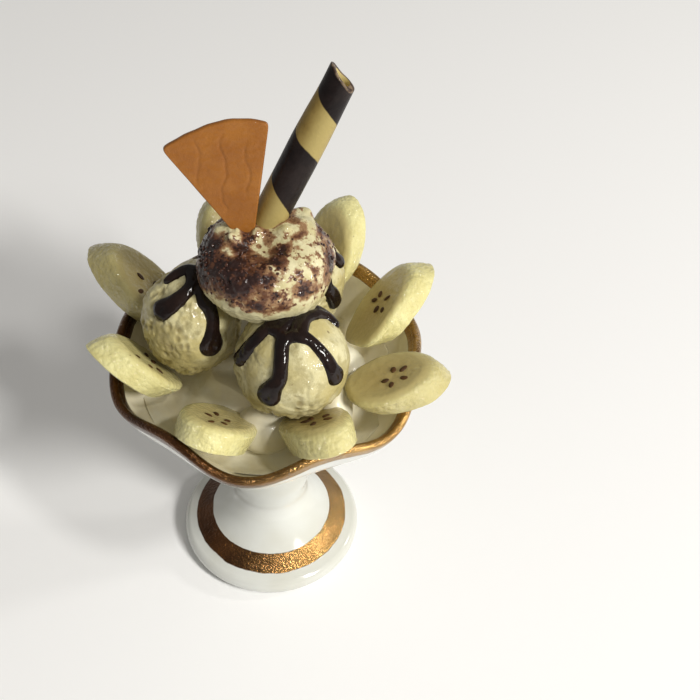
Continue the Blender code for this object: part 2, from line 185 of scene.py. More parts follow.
# Banana slices: centre of the cut face, heading, rise and bank, half length, half width, overhang, how pointed
# the outer and inner ends are, thickness, and the places of its seeds along and across the face
SLICES = [
    ((8.95, 4.25, 27.26), (57.5, 27.2, -40.7), 4.2, 3.2, 1.8, (0.0, -0.5), 2.5,
     [(1.13, 0.54), (0.47, 0.9), (0.86, -0.95), (-0.34, -0.3), (-0.33, -1.33)]),
    ((4.11, 9.75, 27.75), (79.9, 44.0, -35.9), 4.35, 3.0, 1.6, (0.0, 0.2), 2.25,
     [(0.3, 0.2), (-0.5, 0.85), (-1.4, 0.5), (-1.3, -0.5), (-0.2, -0.7)]),
    ((-3.74, 9.89, 27.71), (105, 40, 10), 4.3, 3.0, 1.5, (0.0, 0.2), 2.2,
     [(0.5, 0.1), (-0.3, 0.8), (-1.2, 0.4), (-1.1, -0.6), (0.0, -0.8)]),
    ((-10.16, 4.77, 27.65), (132.7, 18.9, 32.7), 4.85, 3.0, 2.0, (0.1, 0.0), 2.8,
     [(1.23, 0.66), (0.28, -0.5), (-0.3, 1.97), (-1.01, 1.68), (-0.9, 0.0)]),
    ((-9.33, -3.1, 26.97), (186.4, 48.5, 26.3), 4.0, 3.0, 1.3, (0.1, 0.3), 2.4,
     [(1.92, 1.41), (0.1, -0.87), (-0.42, -0.16), (0.67, 1.85), (-0.52, 1.32)]),
    ((-3.02, -7.69, 25.9), (248.9, 40.5, -4.0), 4.2, 2.95, 0.5, (0.0, 0.1), 2.4,
     [(1.29, -0.66), (0.06, -0.48), (2.77, 0.27), (1.77, 0.99), (0.61, 0.76)]),
    ((4.2, -7.86, 26.53), (295.0, 36.7, 2.5), 4.1, 2.7, 1.1, (0.0, 0.1), 2.4,
     [(0.45, -0.78), (0.22, -0.19), (1.67, -0.49), (0.79, 0.91), (1.73, 0.76)]),
    ((9.9, -4.5, 28.2), (15.9, 16.2, -14.5), 3.75, 3.0, 1.4, (0.05, -0.2), 2.4,
     [(0.7, 0.4), (1.48, 0.08), (-0.2, -0.64), (0.15, -1.4), (1.3, -1.1)]),
]
# How much a slice is darkened by a painted shadow
PAINTED_SHADOW = {3: 0.4, 4: 0.62, 7: 0.25, 8: 0.5}
# How strongly the cut face shows against the wall, where less than fully; these faces are painted paler, as painted
# light where a face turns from the lamps
FACE_SHARE = {5: 0.35, 6: 0.7}
# The wall leans by a slice's overhang over this much of its thickness
LEAN_DEPTH = 2.15
SLICE_TAPER = 0.93
# The rounding of a slice's upper and lower edge
SLICE_FILLET = 0.6
SLICE_UNDER = 0.4


def smooth_step(low, high, value):
    """0 below low, 1 above high, and an S-shaped cubic between them."""
    t = np.clip((value - low) / (high - low), 0.0, 1.0)
    return t * t * (3 - 2 * t)


def chance(cells, seed):
    """A repeatable number from 0 to 1 for each whole-number cell: its indices times large primes, bits folded."""
    x, y, z = (cells[..., i].astype(np.int64) for i in range(3))
    folded = (x * 73856093) ^ (y * 19349663) ^ (z * 83492791) ^ (seed * 97911)
    folded = ((folded ^ (folded >> 13)) * 1274126177) & 0x7FFFFFFF
    return ((folded ^ (folded >> 15)) & 0xFFFFF) / 0xFFFFF


# Noise cells are turned, so that their borders don't run along the axes
CELL_TURN = np.array(Matrix.Rotation(0.7, 3, "X") @ Matrix.Rotation(1.1, 3, "Y") @ Matrix.Rotation(0.4, 3, "Z"))


def ripple(points, size, seed=0):
    """Soft noise from -1 to 1: random values on a grid of that size, blended by smooth steps within each cell."""
    place = points @ CELL_TURN / size
    cell = np.floor(place)
    inside = place - cell
    inside = inside * inside * (3 - 2 * inside)
    total = 0.0
    for corner in itertools.product((0, 1), repeat=3):
        share = np.prod(np.where(np.array(corner) == 1, inside, 1 - inside), axis=-1)
        total = total + share * chance(cell + corner, seed)
    return total * 2 - 1


def roughness(points, size, seed=0, layers=3):
    """Ripples of that size with finer ones on top, each half the size and half the height of the last."""
    return sum(ripple(points, size / 2**k, seed + 7 * k) / 2**k for k in range(layers))


def nearest_grain(points, size, seed=0):
    """Distance, in cells, to the nearest of the grains that are strewn one to a cell of that size."""
    place = points / size
    cell = np.floor(place)
    best = np.full(points.shape[:-1], 9.0)
    for step in itertools.product((-1, 0, 1), repeat=3):
        spot = cell + step
        grain = spot + columns(*(chance(spot, seed + k) for k in (1, 2, 3)))
        best = np.minimum(best, np.linalg.norm(place - grain, axis=-1))
    return best


def curve_through(points, count):
    """A round curve through the points: cubic pieces whose slope at a point is half the step across it."""
    points = np.asarray(points, float)
    ends = np.concatenate([2 * points[:1] - points[1:2], points, 2 * points[-1:] - points[-2:-1]])
    t = np.linspace(0, len(points) - 1 - 1e-9, count)
    i = t.astype(int)
    t = (t - i)[:, None]
    a, b, c, d = (ends[i + k] for k in range(4))
    return 0.5 * (2 * b + (c - a) * t + (2 * a - 5 * b + 4 * c - d) * t**2 + (3 * b - a - 3 * c + d) * t**3)


def columns(*parts):
    """Points or rows from their columns, which are numbers or arrays of matching shapes."""
    return np.stack(np.broadcast_arrays(*parts), axis=-1)


def spun(radius, compass, height):
    """Points at that radius and compass angle about Z, and at that height."""
    return columns(radius * np.cos(compass), radius * np.sin(compass), height)


def unit(vectors):
    """The vectors at length 1."""
    return vectors / np.linalg.norm(vectors, axis=-1, keepdims=True)


def compass_angles(sides):
    """Angles all the way round, one to a side."""
    return 2 * math.pi * np.arange(sides) / sides


def directions(rings, sides):
    """Unit vectors of a ball's grid: polar angles from top to bottom with the poles left out, all round Z."""
    polar = math.pi * (np.arange(rings) + 0.5)[:, None] / rings
    return spun(np.sin(polar), compass_angles(sides), np.cos(polar))


def turned(matrix, points):
    """The points carried by a 4 x 4 matrix."""
    grid = np.array(matrix)
    return points @ grid[:3, :3].T + grid[:3, 3]


def new_object(name, data):
    """An object in the scene."""
    made = bpy.data.objects.new(name, data)
    bpy.context.scene.collection.objects.link(made)
    return made


def piece(name, corners, faces, look, node, uv=None, values=None):
    """A mesh from arrays of corners in millimetres and faces of equal size, riding the frame for its node."""
    mesh = bpy.data.meshes.new(name)
    groups = faces if isinstance(faces, list) else [faces]
    loops = np.concatenate([group.ravel() for group in groups])
    sizes = np.concatenate([np.full(len(group), group.shape[1]) for group in groups])
    mesh.vertices.add(len(corners))
    mesh.vertices.foreach_set("co", (corners * MM).astype(np.float32).ravel())
    mesh.loops.add(len(loops))
    mesh.loops.foreach_set("vertex_index", loops.astype(np.int32))
    mesh.polygons.add(len(sizes))
    starts = np.concatenate([[0], np.cumsum(sizes)[:-1]])
    mesh.polygons.foreach_set("loop_start", starts.astype(np.int32))
    mesh.polygons.foreach_set("use_smooth", np.ones(len(sizes), bool))
    if uv is not None:
        layer = mesh.uv_layers.new(name="UVMap")
        layer.uv.foreach_set("vector", uv.astype(np.float32).ravel())
    for key, numbers in (values or {}).items():
        mesh.attributes.new(key, "FLOAT", "POINT").data.foreach_set("value", numbers.astype(np.float32).ravel())
    mesh.update()
    mesh.validate()
    mesh.materials.append(look)
    obj = new_object(name, mesh)
    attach(obj, "root")
    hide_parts(node)


def shell(name, rings, look, node, along=None, values=None):
    """A closed surface from rings of points, shaped (ring, side, xyz).

    Neighbouring rings are joined by quads and sides wrap round. The first and last ring close on a pole at
    their mean. The UV map holds the share of the way round and, for each ring, along. Faces that enclose a
    negative volume are turned over.
    """
    count, sides = rings.shape[:2]
    along = np.linspace(0, 1, count) if along is None else np.asarray(along)
    corners = np.concatenate([rings.reshape(-1, 3), rings[:1].mean(axis=1), rings[-1:].mean(axis=1)])
    i, j = np.meshgrid(np.arange(count - 1), np.arange(sides), indexing="ij")
    i, j = i.ravel(), j.ravel()
    k = (j + 1) % sides
    quads = columns(i * sides + j, (i + 1) * sides + j, (i + 1) * sides + k, i * sides + k)
    u0, u1 = j / sides, (j + 1) / sides
    quad_uv = columns(u0, along[i], u0, along[i + 1], u1, along[i + 1], u1, along[i])
    j = np.arange(sides)
    k = (j + 1) % sides
    first, last = count * sides, count * sides + 1
    low = (count - 1) * sides
    caps = np.concatenate([columns(first, j, k), columns(last, low + k, low + j)])
    u0, u1, mid = j / sides, (j + 1) / sides, (j + 0.5) / sides
    top, bottom = along[0], along[-1]
    cap_uv = np.concatenate([columns(mid, top, u0, top, u1, top), columns(mid, bottom, u1, bottom, u0, bottom)])
    a, b, c, d = (corners[quads[:, n]] for n in range(4))
    volume = np.einsum("ij,ij->", a, np.cross(b, c)) + np.einsum("ij,ij->", a, np.cross(c, d))
    if volume < 0:
        quads, caps = quads[:, ::-1], caps[:, ::-1]
        quad_uv = quad_uv.reshape(-1, 4, 2)[:, ::-1].reshape(-1, 8)
        cap_uv = cap_uv.reshape(-1, 3, 2)[:, ::-1].reshape(-1, 6)
    uv = np.concatenate([quad_uv.ravel(), cap_uv.ravel()])
    spread = {
        key: np.concatenate([numbers.ravel(), [numbers[0].mean(), numbers[-1].mean()]])
        for key, numbers in (values or {}).items()
    }
    piece(name, corners, [quads, caps], look, node, uv, spread)


GOLDEN = (1 + 5**0.5) / 2
# An even ball of 20 faces: its corners, at distance 1, and its faces
LUMP = np.array([
    (-1, GOLDEN, 0), (1, GOLDEN, 0), (-1, -GOLDEN, 0), (1, -GOLDEN, 0), (0, -1, GOLDEN), (0, 1, GOLDEN),
    (0, -1, -GOLDEN), (0, 1, -GOLDEN), (GOLDEN, 0, -1), (GOLDEN, 0, 1), (-GOLDEN, 0, -1), (-GOLDEN, 0, 1),
]) / math.hypot(1, GOLDEN)
LUMP_FACES = np.array([
    (0, 11, 5), (0, 5, 1), (0, 1, 7), (0, 7, 10), (0, 10, 11), (1, 5, 9), (5, 11, 4), (11, 10, 2), (10, 7, 6),
    (7, 1, 8), (3, 9, 4), (3, 4, 2), (3, 2, 6), (3, 6, 8), (3, 8, 9), (4, 9, 5), (2, 4, 11), (6, 2, 10),
    (8, 6, 7), (9, 8, 1),
])


def strew_crumbs(places, ups, sizes):
    """Crumbs as one mesh: an uneven ball of 20 faces for each place, flattened along up and turned at random."""
    draw = np.random.default_rng(3)
    count = len(places)
    side = unit(np.cross(ups, draw.normal(size=(count, 3))))
    other = np.cross(ups, side)
    shape = LUMP[None] * (1 + draw.uniform(-0.28, 0.28, (count, 12, 1)))
    stretch = columns(draw.uniform(0.75, 1.25, count), draw.uniform(0.75, 1.25, count), CRUMB_SQUASH)
    shape = shape * stretch[:, None] * sizes[:, None, None]
    corners = shape[..., :1] * side[:, None] + shape[..., 1:2] * other[:, None] + shape[..., 2:] * ups[:, None]
    corners = corners + places[:, None]
    faces = LUMP_FACES[None] + 12 * np.arange(count)[:, None, None]
    tone = np.repeat(draw.uniform(0, 1, count), 12)
    piece("cocoa_crumbs", corners.reshape(-1, 3), faces.reshape(-1, 3), crumb_look(), "scoop_top",
          values={"tone": tone})


# Materials

# What is covered by wet varnish
WET = {"Roughness": 0.5, "Coat_Weight": 0.7, "Coat_IOR": 1.4}


def sockets_of(tree):
    """The inputs of a material's Principled shader."""
    return tree.nodes["Principled BSDF"].inputs


def new_look(name, **values):
    """A material whose shader has the given plain values, and its tree of nodes."""
    made = bpy.data.materials.new(name)
    made.use_nodes = True
    for key, value in values.items():
        sockets_of(made.node_tree)[key.replace("_", " ")].default_value = value
    return made, made.node_tree


def add(tree, kind, settings=None, **inputs):
    """A new node. An input is a plain value, or an output to link."""
    node = tree.nodes.new(kind)
    for key, value in (settings or {}).items():
        setattr(node, key, value)
    for key, value in inputs.items():
        socket = node.inputs[int(key[1:])] if key[1:].isdigit() else node.inputs[key.replace("_", " ")]
        if isinstance(value, bpy.types.NodeSocket):
            tree.links.new(value, socket)
        else:
            socket.default_value = value
    return node


def number(tree, kind, a, b=0.0):
    """One sum of two numbers, such as ADD or MULTIPLY."""
    return add(tree, "ShaderNodeMath", {"operation": kind}, _0=a, _1=b).outputs[0]


def times(tree, a, b):
    return number(tree, "MULTIPLY", a, b)


def between(tree, value, low, high, smooth=True):
    """0 below low and 1 above high, with a smooth change."""
    kind = "SMOOTHSTEP" if smooth else "LINEAR"
    made = add(tree, "ShaderNodeMapRange", {"interpolation_type": kind}, Value=value, From_Min=low, From_Max=high)
    return made.outputs[0]


def blend(tree, share, a, b):
    """Colour a where share is 0 and b where it is 1. A colour is an output, or its red, green and blue."""
    a, b = (c if isinstance(c, bpy.types.NodeSocket) else (*c, 1.0) for c in (a, b))
    return add(tree, "ShaderNodeMix", {"data_type": "RGBA"}, _0=share, _6=a, _7=b).outputs[2]


def specks(tree, size, detail=3.0, rough=0.55):
    """Noise whose largest marks are about size millimetres, on Object coordinates."""
    place = add(tree, "ShaderNodeTexCoord").outputs["Object"]
    noise = add(tree, "ShaderNodeTexNoise", Vector=place, Scale=1 / (size * MM), Detail=detail, Roughness=rough)
    return noise.outputs[0]


def wander(tree, noise, span):
    """The noise moved to lie round 0 and scaled by span."""
    return times(tree, number(tree, "SUBTRACT", noise, 0.5), span)


def tinted(tree, value, low, high, a, b):
    """Colour a where the value is below low, turning to b above high."""
    return blend(tree, between(tree, value, low, high), a, b)


def paint(tree, result, socket="Base Color"):
    """Links a result to the shader."""
    tree.links.new(result, sockets_of(tree)[socket])


def relief(tree, height, depth, varnish=None, ripples=0.0):
    """Bumps of depth millimetres on the surface, and on its varnish the same or finer ripples of its own."""
    bump = add(tree, "ShaderNodeBump", Distance=depth * MM, Height=height)
    tree.links.new(bump.outputs[0], sockets_of(tree)["Normal"])
    if varnish is not None:
        bump = add(tree, "ShaderNodeBump", Distance=ripples * MM, Height=varnish)
    tree.links.new(bump.outputs[0], sockets_of(tree)["Coat Normal"])


def attribute(tree, name):
    """The value that a piece carries under that name at each corner."""
    return add(tree, "ShaderNodeAttribute", {"attribute_name": name}).outputs["Fac"]


def along_uv(tree):
    """The piece's UV map as its two numbers: the share of the way round, and the way along."""
    place = add(tree, "ShaderNodeUVMap", {"uv_map": "UVMap"}).outputs[0]
    split = add(tree, "ShaderNodeSeparateXYZ", Vector=place)
    return split.outputs[0], split.outputs[1]


def porcelain_look(bands):
    """White glaze, creamy inside the bowl as painted bounce light, with worn, grainy gold in each band (start, end) of
    the way along.

    The gold is darker on the dish's left than on its right, as a painted reflection. The rim's band comes first.
    """
    made, tree = new_look("glazed_porcelain", Roughness=0.12, IOR=1.5, Coat_Weight=0.2, Coat_Roughness=0.1)
    _, along = along_uv(tree)
    rim_start = bands[0][0]
    inside = between(tree, along, rim_start + 1.6, rim_start + 1.0)
    along = number(tree, "ADD", along, wander(tree, specks(tree, 1.6, 4), 0.35))
    aside = add(tree, "ShaderNodeSeparateXYZ", Vector=add(tree, "ShaderNodeTexCoord").outputs["Object"]).outputs[0]
    # Painted reflection: the gold runs from dark on the left to bright on the right, as if reflecting dim and bright
    # surroundings
    painted_reflection = between(tree, aside, GOLD_PAINTED_REFLECTION[0] * MM, GOLD_PAINTED_REFLECTION[1] * MM)
    gold = 0.0
    for start, end in bands:
        opens = between(tree, along, start - BAND_BLUR, start + BAND_BLUR)
        closes = between(tree, along, end + BAND_BLUR, end - BAND_BLUR)
        gold = number(tree, "MAXIMUM", times(tree, opens, closes), gold)
    worn = between(tree, specks(tree, 0.9, 5, 0.7), 0.24, 0.34)
    gold = times(tree, gold, worn)
    grain = specks(tree, 0.2, 2, 0.6)
    stain_and_shade = number(tree, "ADD", times(tree, grain, 0.35), specks(tree, 3.0, 3))
    dull = blend(tree, painted_reflection, (0.045, 0.016, 0.005), (0.32, 0.17, 0.045))
    leaf = blend(tree, painted_reflection, (0.13, 0.05, 0.013), (0.62, 0.38, 0.13))
    leaf = tinted(tree, stain_and_shade, 0.4, 0.95, dull, leaf)
    glaze = tinted(tree, specks(tree, 6, 2), 0.35, 0.65, (0.66, 0.67, 0.63), (0.6, 0.6, 0.54))
    # Painted bounce light: the glaze inside the bowl is brighter and yellower than outside
    glaze = blend(tree, inside, glaze, (0.9, 0.84, 0.64))
    paint(tree, blend(tree, gold, glaze, leaf))
    paint(tree, times(tree, gold, 0.92), "Metallic")
    paint(tree, number(tree, "ADD", 0.12, times(tree, gold, 0.06)), "Roughness")
    relief(tree, times(tree, grain, gold), 0.13)
    return made


def two_tone(name, marks, limits, tones, bumps, **values):
    """Clay that turns from one tone to the other with noise (size, detail), between its limits, with fine bumps."""
    made, tree = new_look(name, **values)
    paint(tree, tinted(tree, specks(tree, *marks), *limits, *tones))
    relief(tree, specks(tree, *bumps[:2]), bumps[2])
    return made


def toned(name, dark, light, **values):
    """A look that runs from dark to light with the tone that each lump carries, and its tree."""
    made, tree = new_look(name, **values)
    paint(tree, blend(tree, attribute(tree, "tone"), dark, light))
    return made, tree


def cream_look():
    """Smooth off-white clay with a soft varnish."""
    return two_tone("smooth_cream", (3.0, 3), (0.35, 0.68), ((0.8, 0.73, 0.51), (0.87, 0.83, 0.65)), (0.8, 4, 0.05),
                    Roughness=0.35, Coat_Weight=0.35, Coat_Roughness=0.15)


def sauce_look():
    """Nearly black chocolate with a wet gloss."""
    tones = ((0.006, 0.0024, 0.0018), (0.013, 0.0055, 0.0035))
    return two_tone("chocolate_sauce", (1.2, 3), (0.35, 0.7), tones, (0.7, 2, 0.06),
                    Specular_IOR_Level=0.05, Coat_Roughness=0.03, **WET)


def ice_cream_look():
    """Pale yellow crumbly clay, mottled and dotted with olive, browner where pit is high as painted shade, under glossy
    varnish.
    """
    made, tree = new_look("vanilla_clay", Roughness=0.45, Specular_IOR_Level=0.3, Coat_Weight=0.45, Coat_Roughness=0.1)
    grain = specks(tree, 0.35, 4, 0.6)
    mottle = between(tree, specks(tree, 1.3, 4, 0.62), 0.47, 0.64)
    tint = tinted(tree, specks(tree, 2.6, 3), 0.38, 0.62, (0.47, 0.4, 0.17), (0.62, 0.57, 0.33))
    tint = blend(tree, times(tree, mottle, 0.6), tint, (0.29, 0.235, 0.08))
    # Painted shade: olive-brown where the pit attribute is high
    shaded_tint = blend(tree, times(tree, attribute(tree, "pit"), 0.7), tint, (0.17, 0.125, 0.035))
    dots = between(tree, specks(tree, 0.6, 1, 0.5), 0.76, 0.82)
    paint(tree, blend(tree, times(tree, dots, 0.7), shaded_tint, (0.16, 0.11, 0.04)))
    relief(tree, grain, 0.07, specks(tree, 0.5, 1), 0.15)
    return made


def dusted_look():
    """Cream clay that turns tan, brown and dark as the cocoa gets thicker, with ragged edges, under wet varnish."""
    made, tree = new_look("cocoa_dusted_clay", Specular_IOR_Level=0.2, Coat_Roughness=0.06, **WET)
    dust = attribute(tree, "dust")
    cover = number(tree, "ADD", wander(tree, specks(tree, 0.8, 5, 0.7), 1.5), dust)
    flecks = times(tree, between(tree, specks(tree, 0.55, 2, 0.6), 0.56, 0.64), between(tree, dust, 0.0, 0.14))
    cover = number(tree, "ADD", cover, times(tree, flecks, 0.45))
    cream = tinted(tree, specks(tree, 2.0, 3), 0.35, 0.65, (0.52, 0.46, 0.24), (0.66, 0.61, 0.38))
    tan = tinted(tree, cover, 0.12, 0.36, cream, (0.27, 0.15, 0.07))
    brown = tinted(tree, cover, 0.36, 0.6, tan, (0.105, 0.04, 0.018))
    paint(tree, tinted(tree, cover, 0.66, 0.9, brown, (0.022, 0.007, 0.005)))
    relief(tree, specks(tree, 0.3, 4, 0.65), 0.09, specks(tree, 0.55, 1), 0.3)
    return made


def crumb_look():
    """Cocoa crumbs from red-brown to nearly black, wet."""
    made, tree = toned("cocoa_crumb", (0.02, 0.007, 0.005), (0.075, 0.026, 0.014),
                       Specular_IOR_Level=0.2, Coat_Roughness=0.08, **WET)
    relief(tree, specks(tree, 0.2, 3), 0.05)
    return made


def biscuit_look():
    """Baked orange-brown clay with fine grain, darker in its grooves as painted shade, varnished."""
    made, tree = new_look("baked_wafer", Roughness=0.5, Specular_IOR_Level=0.2, Coat_Weight=0.25, Coat_Roughness=0.1)
    base = tinted(tree, specks(tree, 2.5, 4, 0.6), 0.3, 0.7, (0.265, 0.094, 0.015), (0.325, 0.124, 0.02))
    base = tinted(tree, specks(tree, 0.3, 3, 0.6), 0.6, 0.8, base, (0.28, 0.1, 0.02))
    # Painted shade: the grooves are darker
    paint(tree, blend(tree, times(tree, attribute(tree, "groove"), 0.22), base, (0.2, 0.07, 0.015)))
    relief(tree, specks(tree, 0.3, 4, 0.6), 0.05, specks(tree, 0.6, 1), 0.12)
    return made


def striped_look():
    """Dark and cream stripes that wind round the roll, from the way round and the way along in millimetres.

    The stripes sway once a turn, more towards the tip, and the cream is painted paler on its lit side. The cut end
    and the bore have colours of their own.
    """
    made, tree = new_look("striped_wafer", Roughness=0.5, Specular_IOR_Level=0.12, Coat_Weight=0.18, Coat_Roughness=0.1)
    around, along = along_uv(tree)
    sway = number(tree, "ADD", 0.1, times(tree, between(tree, along, 1.0, 9.0, False), 1.1))
    swing = number(tree, "SINE", times(tree, number(tree, "SUBTRACT", around, 0.4), 2 * math.pi))
    wind = number(tree, "SUBTRACT", times(tree, around, STRIPE_PITCH), times(tree, swing, sway))
    place = number(tree, "ADD", number(tree, "ADD", along, wind), wander(tree, specks(tree, 1.5, 3), 0.2))
    turn = number(tree, "FRACT", number(tree, "DIVIDE", number(tree, "SUBTRACT", place, STRIPE_START), STRIPE_PITCH))
    opens = between(tree, turn, 0.0, STRIPE_BLUR, False)
    closes = between(tree, turn, DARK_SHARE, DARK_SHARE - STRIPE_BLUR, False)
    tint = between(tree, specks(tree, 2.0, 3), 0.35, 0.65)
    # Painted light: the cream is paler on the lit front right of the roll
    pale = number(tree, "COSINE", times(tree, number(tree, "SUBTRACT", around, 0.5), 2 * math.pi))
    cream = blend(tree, tint, (0.23, 0.15, 0.038), (0.29, 0.2, 0.058))
    cream = tinted(tree, pale, 0.3, 1.1, cream, (0.38, 0.3, 0.11))
    brown = blend(tree, tint, (0.006, 0.003, 0.003), (0.015, 0.009, 0.008))
    stripes = blend(tree, times(tree, opens, closes), cream, brown)
    cut = tinted(tree, specks(tree, 0.6, 3), 0.45, 0.6, (0.045, 0.026, 0.018), (0.17, 0.12, 0.075))
    stripes = blend(tree, attribute(tree, "cut"), stripes, cut)
    paint(tree, blend(tree, attribute(tree, "bore"), stripes, (0.56, 0.46, 0.2)))
    relief(tree, specks(tree, 0.4, 4), 0.04)
    return made


def banana_look():
    """Grainy pale yellow clay, smoother and darker on the cut face, darker still under a painted shadow, with a few
    brown dots.

    The varnish is glossy and ripples more than the clay under it.
    """
    made, tree = new_look("banana_clay", Roughness=0.45, Specular_IOR_Level=0.25, Coat_Weight=0.8, Coat_Roughness=0.05)
    face = attribute(tree, "face")
    rind = tinted(tree, specks(tree, 2.0, 3), 0.35, 0.65, (0.62, 0.56, 0.24), (0.7, 0.65, 0.31))
    flesh = blend(tree, attribute(tree, "core"), (0.58, 0.49, 0.21), (0.45, 0.34, 0.12))
    base = blend(tree, face, rind, flesh)
    # Painted shadow: some whole slices are darkened, as if a shadow fell on them
    base = blend(tree, attribute(tree, "painted_shadow"), base, (0.35, 0.28, 0.1))
    dots = between(tree, specks(tree, 0.9, 1, 0.4), 0.8, 0.83)
    paint(tree, blend(tree, times(tree, dots, 0.7), base, (0.12, 0.07, 0.03)))
    calm = number(tree, "SUBTRACT", 1.0, times(tree, face, 0.75))
    grain = times(tree, specks(tree, 0.3, 3, 0.6), calm)
    relief(tree, grain, 0.09, times(tree, specks(tree, 0.4, 2), calm), 0.6)
    return made


def seed_look():
    """Brown, from dark to mid."""
    return toned("banana_seed", (0.042, 0.018, 0.005), (0.1, 0.044, 0.012), Roughness=0.5, Specular_IOR_Level=0.25)[0]


# Dish


def round_edge(centre, radius, turn):
    """The points of an arc in the section."""
    return columns(centre[0] + radius * np.cos(turn), centre[1] + radius * np.sin(turn))


def dish_profile():
    """The dish's section as (radius, height) from its floor over the rim and down to the base, and the way along.

    Each stretch is a round curve through named points: the floor and inner wall, the half circle of the lip, the
    outer wall and stem, the foot's sloping band, its rounded edge and the flat base.
    """
    floor = curve_through(DISH_INSIDE, 70)
    lip = round_edge(LIP_CENTRE, LIP_RADIUS, np.linspace(math.pi, 0, 14)[1:])
    side = curve_through(DISH_OUTSIDE, 110)[1:]
    band = curve_through([FOOT_BAND_INNER, (6.5, 2.52), FOOT_BAND_OUTER], 16)[1:]
    edge = round_edge(FOOT_EDGE_CENTRE, FOOT_EDGE_RADIUS, np.radians(np.linspace(75, -20, 16)))
    base = columns(np.linspace(8.1, 0.05, 14), 0.0)
    profile = np.concatenate([floor, lip, side, band, edge, base])
    steps = np.linalg.norm(np.diff(profile, axis=0), axis=1)
    return profile, np.concatenate([[0], np.cumsum(steps)])


def make_dish():
    """The section turned about Z, with six soft lobes that grow towards the rim, flare outwards and dip."""
    profile, along = dish_profile()
    compass = compass_angles(288)
    wave = np.cos(RIM_LOBES * (compass - FIRST_LOBE))[None]
    radius, height = profile[:, :1], profile[:, 1:]
    share = smooth_step(FLUTE_FOOT, RIM_HEIGHT, height) * (radius > LOBES_BEYOND)
    grown = radius + LOBE_FLARE * share * wave
    rings = spun(grown, compass, height - LOBE_DIP * share * wave)
    lip = along[np.argmax(profile[:, 1])]
    foot_band = (FOOT_BAND_INNER, FOOT_BAND_OUTER)
    foot, edge = (along[np.argmin(np.linalg.norm(profile - spot, axis=1))] for spot in foot_band)
    look = porcelain_look([(lip - RIM_BAND_INSIDE, lip + RIM_BAND_OUTSIDE), (foot, edge)])
    shell("porcelain_dish", rings, look, "dish", along)


def make_bed():
    """A flat-topped mound turned about Z, its edge laid up the dish's wall, drawn in by ripples on its slope."""
    profile = np.concatenate([curve_through(BED_OVER, 70), curve_through(BED_UNDER, 30)[1:]])
    rings = spun(profile[:, :1], compass_angles(160), profile[:, 1:])
    share = smooth_step(20.6, BED_TOP, rings[..., 2]) * smooth_step(2, 6, np.linalg.norm(rings[..., :2], axis=-1))
    push = np.abs(roughness(rings, 2.8, 5, 3)) * 0.35 * share
    out = rings[..., :2] / np.maximum(np.linalg.norm(rings[..., :2], axis=-1, keepdims=True), 1e-6)
    rings[..., :2] -= out * push[..., None]
    shell("cream_mound", rings, cream_look(), "cream_bed")
    make_cream_lumps()


def make_cream_lumps():
    """Uneven balls of cream: directions times half sizes, pushed out and in by ripples."""
    look = cream_look()
    way = directions(60, 120)
    for k, (centre, half_size) in enumerate(CREAM_LUMPS, 1):
        swell = 1 + 0.04 * ripple(way, 0.9, k)
        shell(f"cream_lump_{k}", way * half_size * swell[..., None] + centre, look, "cream_bed")


# Scoops


def crags(way, seed):
    """A scoop's relief in millimetres and its painted shade from 0 to 1, along directions from its centre.

    Broad soft lumps, and in patches fine grain and dents: a pit is a dent round the nearest grain. The hem is
    crumbly, each crumb standing as 1 minus the square of the distance to its grain. Flakes come from a ripple
    that stops at a step. Painted shade darkens each pit, the hollows of the fine grain, the gaps between the
    crumbs and the lower left front side.
    """
    spot = way * SCOOP_RADIUS
    warped = spot + 0.22 * columns(*(ripple(spot, 0.7, seed + k) for k in (31, 32, 33)))
    patch = 0.7 * ripple(spot, 2.3, seed + 3) + 0.5 * ripple(spot, 1.0, seed + 4)
    patchy = smooth_step(-0.3, 0.45, patch - 0.45 * way[..., 0] - 0.2 * way[..., 2])
    hem = smooth_step(-0.3, -0.52, way[..., 2] + 0.06 * ripple(spot, 1.5, seed + 8))
    lumps = 0.17 * ripple(spot, 2.6, seed) + 0.12 * ripple(spot, 1.3, seed + 5)
    fine = 0.09 * roughness(warped, 0.7, seed + 14, 2) * (0.3 + 0.7 * patchy)
    pit = smooth_step(0.5, 0.15, nearest_grain(warped, 0.7, seed + 11)) * patchy
    crumb = np.clip(1 - nearest_grain(warped, 0.66, seed + 17) ** 2, 0, 1)
    flake = smooth_step(0.05, 0.2, ripple(warped, 1.9, seed + 21)) * FLAKE * (1 - hem)
    # Painted shade: darker in each pit, in the hollows of the fine grain and between the hem's crumbs
    stain_and_shade = 0.8 * pit + 0.5 * smooth_step(0.0, -0.5, ripple(warped, 0.7, seed + 14)) * patchy
    stain_and_shade = stain_and_shade * (1 - hem) + 0.6 * smooth_step(0.6, 0.35, crumb) * hem
    # Painted shade over the lower left front side, away from the lamps
    stain_and_shade = stain_and_shade + 0.4 * smooth_step(0.4, 1.0, way @ np.array(SHADED_WAY))
    crumbs = (crumb - 0.6) * (HEM_CRUMBS * hem + SIDE_CRUMBS * patchy * (1 - hem))
    return lumps + fine - PIT_DEPTH * pit * (1 - hem) + crumbs + flake, np.clip(stain_and_shade, 0, 1)


def leg_points(waypoints, half_size):
    """A sauce leg's places on the scoop and its half widths: a round curve through the waypoints."""
    polar, compass, width = np.array(waypoints, float).T
    polar, compass = np.radians(polar), np.radians(compass)
    way = spun(np.sin(polar), compass, np.cos(polar))
    run = curve_through(np.concatenate([way, width[:, None]], axis=1), 90)
    return unit(run[:, :3]) * half_size, np.maximum(run[:, 3] + 0.05, 0.14)


